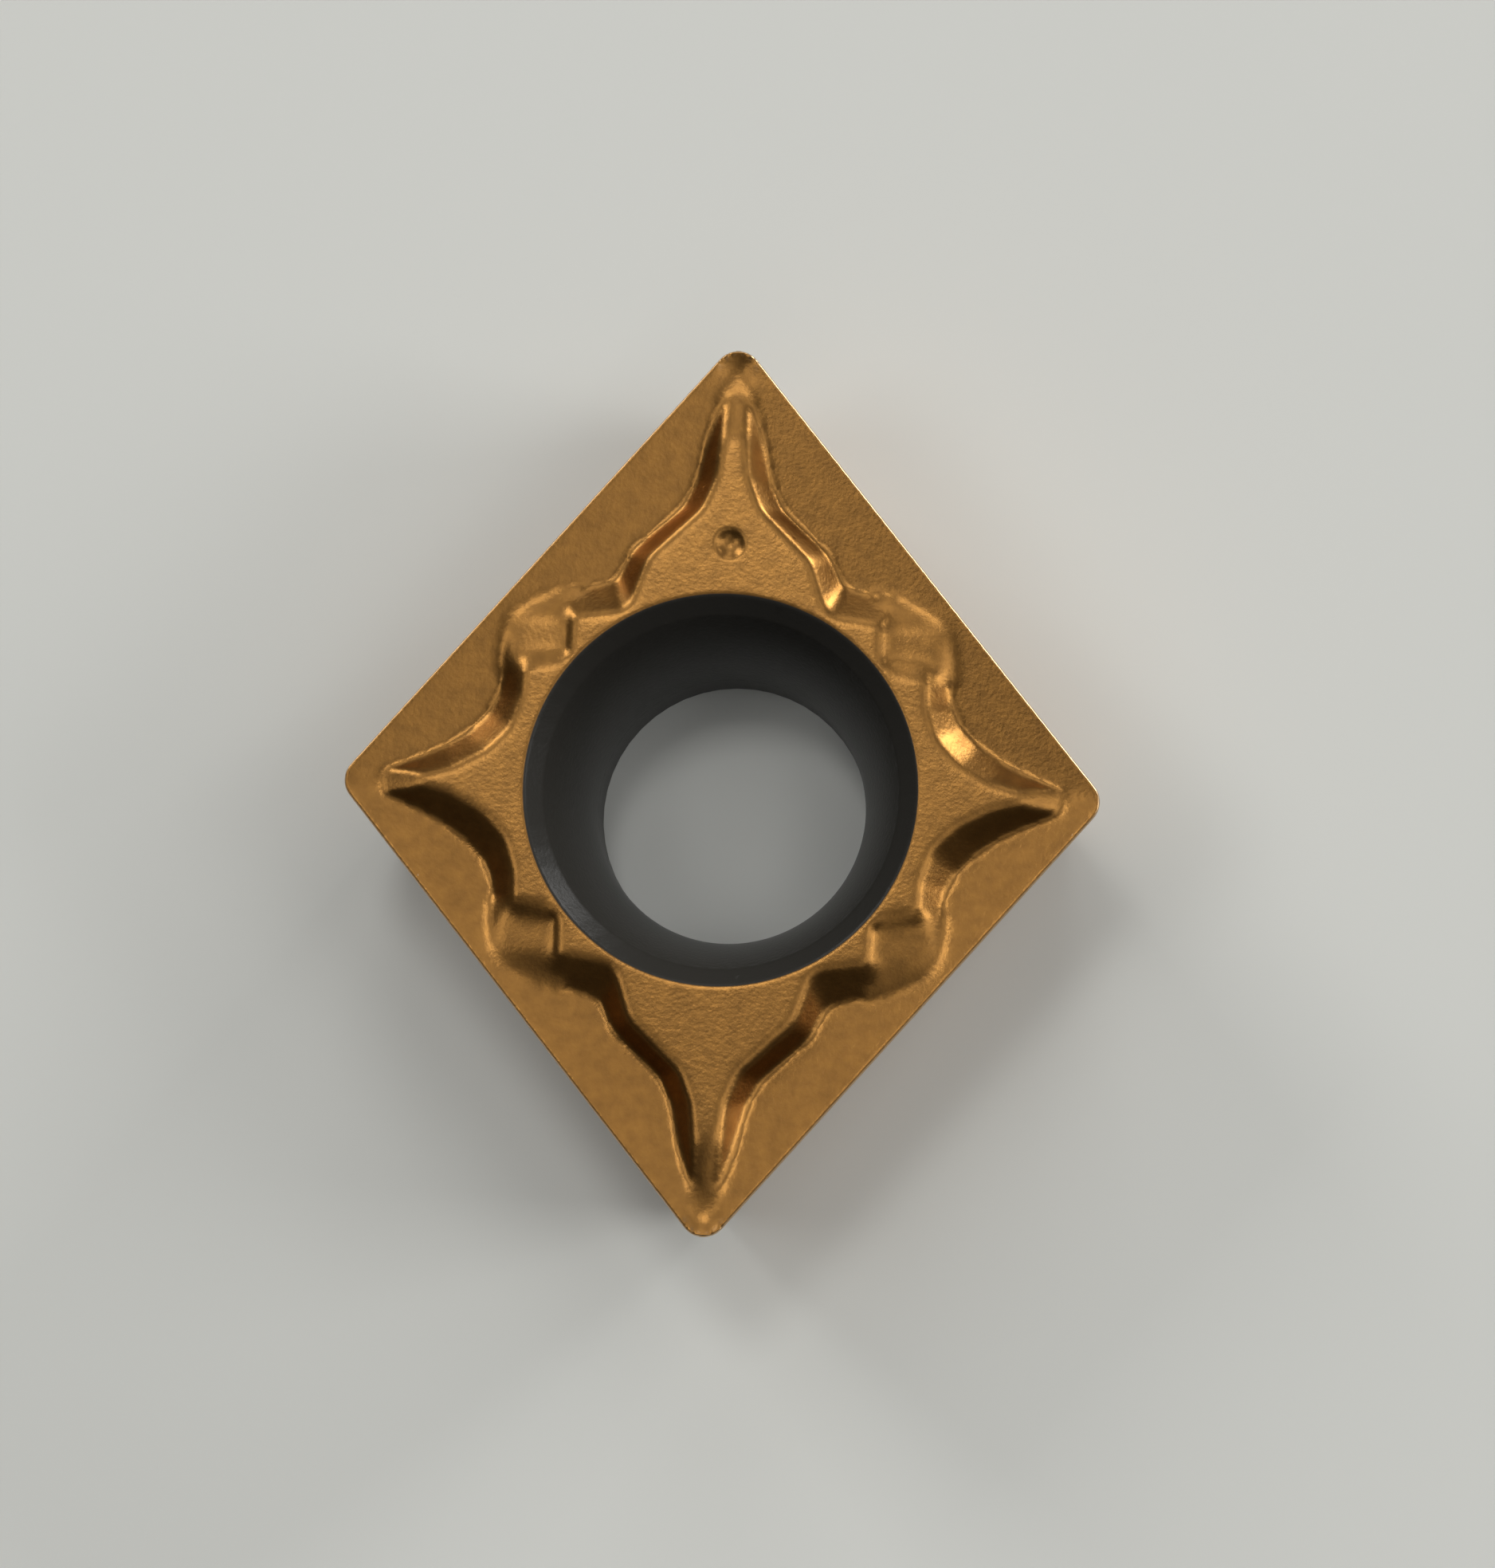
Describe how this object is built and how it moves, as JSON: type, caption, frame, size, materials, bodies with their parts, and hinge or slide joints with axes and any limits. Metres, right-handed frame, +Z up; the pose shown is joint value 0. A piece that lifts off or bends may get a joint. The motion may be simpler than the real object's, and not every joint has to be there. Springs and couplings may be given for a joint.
{
  "type": "carbide insert",
  "caption": "Rhombic indexable turning insert with chip groove, raised star plateau and a countersunk hole for its clamping screw.",
  "frame": {"origin": "on the screw hole's axis, in the plane of the flat seat face", "axes": "+Z up along the screw hole, from the seat to the cutting edges; +Y along the long diagonal, towards the nose whose arm has the index dimple; +X along the short diagonal"},
  "size_m": [0.0122, 0.0144, 0.0041],
  "materials": {
    "coated_carbide": "satin"
  },
  "bodies": {
    "root": {"insert_body": "coated_carbide"}
  },
  "joints": []
}
